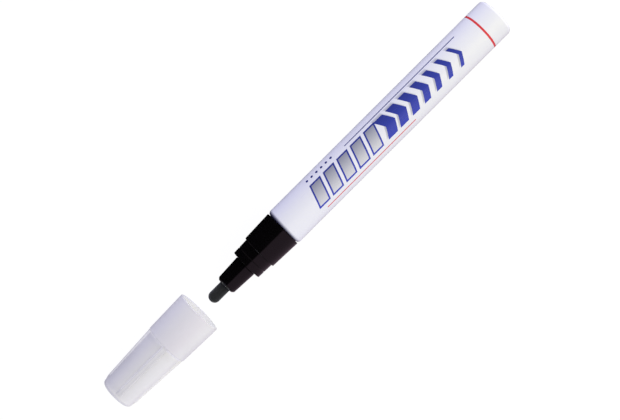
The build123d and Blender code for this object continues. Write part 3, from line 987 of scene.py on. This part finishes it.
class MARKER_OT_cap(Operator):
    """Models the see-through cap with its skirt, step and ribs"""
    bl_idname = "marker.cap"
    bl_label = "Cap"

    columns = 288
    rib_rings = 14
    bead_slope = 0.75
    well_rounding = 0.0006

    # Heights across a rib from its foot to its middle, as shares of its full height
    crown = (0.0, 0.58, 0.92, 1.0)

    def execute(self, context):
        cap = context.scene.marker_cap
        edge = cap.edge_radius
        step = cap_step(cap)
        well = CAP_MOUTH + cap.well_depth
        shoulder = CAP_MOUTH + cap.shoulder_depth
        bead = CAP_MOUTH + cap.bead_depth
        bead_half = cap.bead_width / 2
        bead_root = cap.bead_radius + bead_half * self.bead_slope
        outline = [
            (well, 0, 0),
            (well, cap.well_bore, self.well_rounding),
            (bead + bead_half, bead_root, edge / 2),
            (bead, cap.bead_radius, edge / 2),
            (bead - bead_half, bead_root, edge / 2),
            (shoulder, cap.seat_bore, edge),
            (shoulder, cap.shoulder_bore, edge),
            (CAP_MOUTH, cap.mouth_bore, cap.lip_radius),
            (CAP_MOUTH, CAP_RADIUS, cap.lip_radius),
            (step, cap.step_radius, edge),
            (step, cap.nose_radius, 0),
            *self.nose_rings(cap),
            (CAP_END, cap.end_radius, cap.end_rounding),
            (CAP_END, 0, 0),
        ]
        piece = turn_piece("cap_shell", outline, self.columns)
        self.raise_ribs(piece, cap)
        finish_piece(piece, "cap", "cap", cap_finish(cap))
        return {"FINISHED"}

    def nose_line(self, cap, place):
        """Radius of the nose at a place along the axis."""
        step = cap_step(cap)
        return cap.nose_radius + (cap.end_radius - cap.nose_radius) * (place - step) / (CAP_END - step)

    def nose_rings(self, cap):
        """Points along the nose that the ribs are raised from."""
        step = cap_step(cap)
        run = CAP_END - cap.rib_end - step
        places = [step + run * ring / self.rib_rings for ring in range(1, self.rib_rings + 1)]
        return [(place, self.nose_line(cap, place), 0) for place in places]

    def raise_ribs(self, piece, cap):
        """Pushes bands of points outwards along the nose, highest at the step."""
        spread = math.tau / self.columns
        half_width = cap.rib_width / 2 / cap.nose_radius
        proud = cap.step_radius - cap.edge_radius - cap.nose_radius
        raised_rings = [(cap_step(cap), cap.nose_radius, 0), *self.nose_rings(cap)][:-1]
        for ring, (place, radius, _) in enumerate(raised_rings):
            height = proud * (1 - cap.rib_fall * ring / self.rib_rings)
            for level in range(1, len(self.crown)):
                outer = half_width - (level - 1) * spread
                inner = 0 if level == len(self.crown) - 1 else outer - spread
                select_points(piece, self.rib_points(cap, place, radius, inner, outer))
                grow = 1 + height * self.crown[level] / radius
                bpy.ops.transform.resize(value=(1, grow, grow), center_override=(place, 0, AXIS_HEIGHT))
        face_outwards()

    def rib_points(self, cap, place, radius, from_angle, to_angle):
        """A test for the points of a ring whose angle from a rib's middle lies in a range."""
        pitch = math.tau / cap.rib_count

        def found(point):
            if abs(point.x - place) > PLACE_TOLERANCE:
                return False
            height = point.z - AXIS_HEIGHT
            if abs(math.hypot(point.y, height) - radius) > PLACE_TOLERANCE:
                return False
            turn = (math.atan2(point.y, height) - cap.rib_turn + pitch / 2) % pitch - pitch / 2
            return from_angle <= abs(turn) < to_angle
        return found


class MARKER_OT_spring(Operator):
    """Winds the valve's spring, which shortens as the valve opens"""
    bl_idname = "marker.spring"
    bl_label = "Valve spring"

    steps = 24
    wire_sides = 12

    def execute(self, context):
        valve = context.scene.marker_valve
        wire = valve.spring_wire / 2
        start = (SPRING_REAR + wire, 0, AXIS_HEIGHT + SPRING_RADIUS - wire)
        deselect_everything()
        bpy.ops.mesh.primitive_circle_add(vertices=self.wire_sides, radius=wire, fill_type="NGON",
                                          rotation=(math.pi / 2, 0, 0), location=start)
        piece = open_piece("valve_spring_coil")
        bpy.ops.mesh.select_all(action="SELECT")
        free = SPRING_FRONT - SPRING_REAR - 2 * wire - 2 * valve.end_pitch
        middle_pitch = free / (valve.spring_turns - 2)
        for step in range(valve.spring_turns * self.steps):
            is_end = step < self.steps or step >= (valve.spring_turns - 1) * self.steps
            rise = (valve.end_pitch if is_end else middle_pitch) / self.steps
            bpy.ops.mesh.extrude_region_move(TRANSFORM_OT_translate={"value": (rise, 0, 0)})
            bpy.ops.transform.rotate(value=math.tau / self.steps, orient_axis="X",
                                     center_override=(0, 0, AXIS_HEIGHT))
        face_outwards()
        finish_piece(piece, "marker", "valve_spring", spring_finish(valve))
        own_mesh(piece)
        return {"FINISHED"}


class MARKER_OT_inner_parts(Operator):
    """Gives the hidden seals, valve parts and ball their finishes"""
    bl_idname = "marker.inner_parts"
    bl_label = "Inner parts"

    def execute(self, context):
        valve = context.scene.marker_valve
        rubber = rubber_finish(valve)
        plastic = valve_finish(valve)
        finishes = {
            "section_gasket": rubber,
            "valve_seat": rubber,
            "valve_stem": plastic,
            "valve_housing": plastic,
            "mixing_ball": ball_finish(valve),
        }
        for node, finish in finishes.items():
            for slot in bpy.data.objects[node].material_slots:
                slot.material = finish
        return {"FINISHED"}


# Stage

def add_softlight(name, place, size, power, tint):
    """Adds an area light that faces the marker and is neither mirrored in it nor seen."""
    deselect_everything()
    facing = (Vector((0, 0, AXIS_HEIGHT)) - Vector(place)).to_track_quat("-Z", "Y").to_euler()
    bpy.ops.object.light_add(type="AREA", location=place, rotation=facing)
    light = bpy.context.object
    light.name = name
    light.data.size = size
    light.data.energy = power
    light.data.color = tint
    light.visible_glossy = False
    light.visible_camera = False


class MARKER_OT_stage(Operator):
    """Sets the pale floor, the soft light and the camera"""
    bl_idname = "marker.stage"
    bl_label = "Stage"

    floor_size = 8.0
    clip_start = 0.01

    # How narrow the light from behind is
    rear_focus = 12

    # Edges in the room, as a coordinate of a direction of length one, and how far they fade
    softbox_fade = 0.06
    front_card_from = (0.6, 0.2)
    behind_to = (0.1, 0.4)

    def execute(self, context):
        stage = context.scene.marker_stage
        self.lay_floor(stage)
        self.hang_light(context, stage)
        self.place_camera(context, stage)
        context.scene.view_settings.view_transform = "Standard"
        context.scene.view_settings.look = "None"
        return {"FINISHED"}

    def lay_floor(self, stage):
        """A plain pale floor that also glows, as a lit table does."""
        deselect_everything()
        bpy.ops.mesh.primitive_plane_add(size=self.floor_size)
        floor = bpy.context.object
        floor.name = "studio_floor"
        finish = Finish("studio_floor")
        skin = finish.mottle(finish.noise(scale=900.0), stage.floor, tone=0.99)
        surface = finish.surface(Base_Color=skin, Roughness=0.9, Specular_IOR_Level=0.0, Emission_Color=WHITE,
                                 Emission_Strength=stage.floor_glow)
        floor.data.materials.append(surface)
        floor.visible_glossy = False
        floor.visible_diffuse = False

    def hang_light(self, context, stage):
        """Soft light from all round, more of it from behind, what gloss mirrors, and three area lights."""
        world = bpy.data.worlds.new("studio_room")
        context.scene.world = world
        room = Nodes(world)
        direction = room.node("ShaderNodeTexCoord", output="Generated")
        forwards = room.part(direction, "X")
        sideways = room.part(direction, "Y")
        is_mirrored = room.node("ShaderNodeLightPath", output="Is Glossy Ray")
        is_seen = room.node("ShaderNodeLightPath", output="Is Camera Ray")
        lit_side = sideways.above((stage.softbox_edge, self.softbox_fade))
        mirrored = room.blend(lit_side, paint(stage.flag), paint(stage.softbox))
        mirrored = room.blend(forwards.above(self.front_card_from), mirrored, paint(stage.front_card))
        glow = stage.room_glow * forwards.below(self.behind_to).between(stage.front_share, 1.0)
        glow = glow + stage.rear_glow * (-forwards).most(0.0) ** self.rear_focus
        soft_light = room.node("ShaderNodeVectorMath", {"operation": "SCALE"},
                               {0: stage.room_tint, "Scale": glow})
        light = room.blend(is_mirrored, soft_light, mirrored)
        light = room.blend(is_seen, light, WHITE)
        background = room.node("ShaderNodeBackground", sockets={"Color": light})
        room.node("ShaderNodeOutputWorld", sockets={"Surface": background})
        world.cycles.sampling_method = "NONE"
        add_softlight("key_light", stage.key_place, stage.key_size, stage.key_power, stage.key_colour)
        add_softlight("fill_light", stage.fill_place, stage.fill_size, stage.fill_power, stage.fill_colour)
        add_softlight("side_light", stage.side_place, stage.side_size, stage.side_power, stage.side_colour)

    def place_camera(self, context, stage):
        """Looks straight down, turned so that the marker lies across the picture."""
        deselect_everything()
        distance = stage.lens / stage.sensor * IMAGE_WIDTH / stage.scale
        bpy.ops.object.camera_add(location=(stage.aim_along, stage.aim_across, AXIS_HEIGHT + distance),
                                  rotation=(0, 0, stage.roll))
        camera = bpy.context.object
        camera.name = "photo_camera"
        camera.data.lens = stage.lens
        camera.data.sensor_width = stage.sensor
        camera.data.clip_start = self.clip_start
        context.scene.camera = camera


# Add-on

class MARKER_PT_panel(Panel):
    """Lists the pieces and the stage of the marker"""
    bl_label = "Paint marker"
    bl_idname = "MARKER_PT_panel"
    bl_space_type = "VIEW_3D"
    bl_region_type = "UI"
    bl_category = "Marker"

    def draw(self, context):
        for operator in OPERATORS:
            self.layout.operator(operator.bl_idname)


OPERATORS = (
    MARKER_OT_barrel,
    MARKER_OT_front_section,
    MARKER_OT_nib_holder,
    MARKER_OT_nib,
    MARKER_OT_cap,
    MARKER_OT_spring,
    MARKER_OT_inner_parts,
    MARKER_OT_stage,
)

SETTINGS = {
    "marker_barrel": BarrelSettings,
    "marker_section": SectionSettings,
    "marker_holder": HolderSettings,
    "marker_nib": NibSettings,
    "marker_cap": CapSettings,
    "marker_valve": ValveSettings,
    "marker_stage": StageSettings,
}


def register():
    """Makes the settings, operators and panel known."""
    for name, group in SETTINGS.items():
        bpy.utils.register_class(group)
        setattr(Scene, name, PointerProperty(type=group))
    for kind in (*OPERATORS, MARKER_PT_panel):
        bpy.utils.register_class(kind)


def unregister():
    """Takes the panel, operators and settings away."""
    for kind in (MARKER_PT_panel, *reversed(OPERATORS)):
        bpy.utils.unregister_class(kind)
    for name, group in SETTINGS.items():
        delattr(Scene, name)
        bpy.utils.unregister_class(group)


def main():
    """Builds every piece and the stage."""
    register()
    bpy.ops.marker.barrel()
    bpy.ops.marker.front_section()
    bpy.ops.marker.nib_holder()
    bpy.ops.marker.nib()
    bpy.ops.marker.cap()
    bpy.ops.marker.spring()
    bpy.ops.marker.inner_parts()
    bpy.ops.marker.stage()


if __name__ == "__main__":
    main()
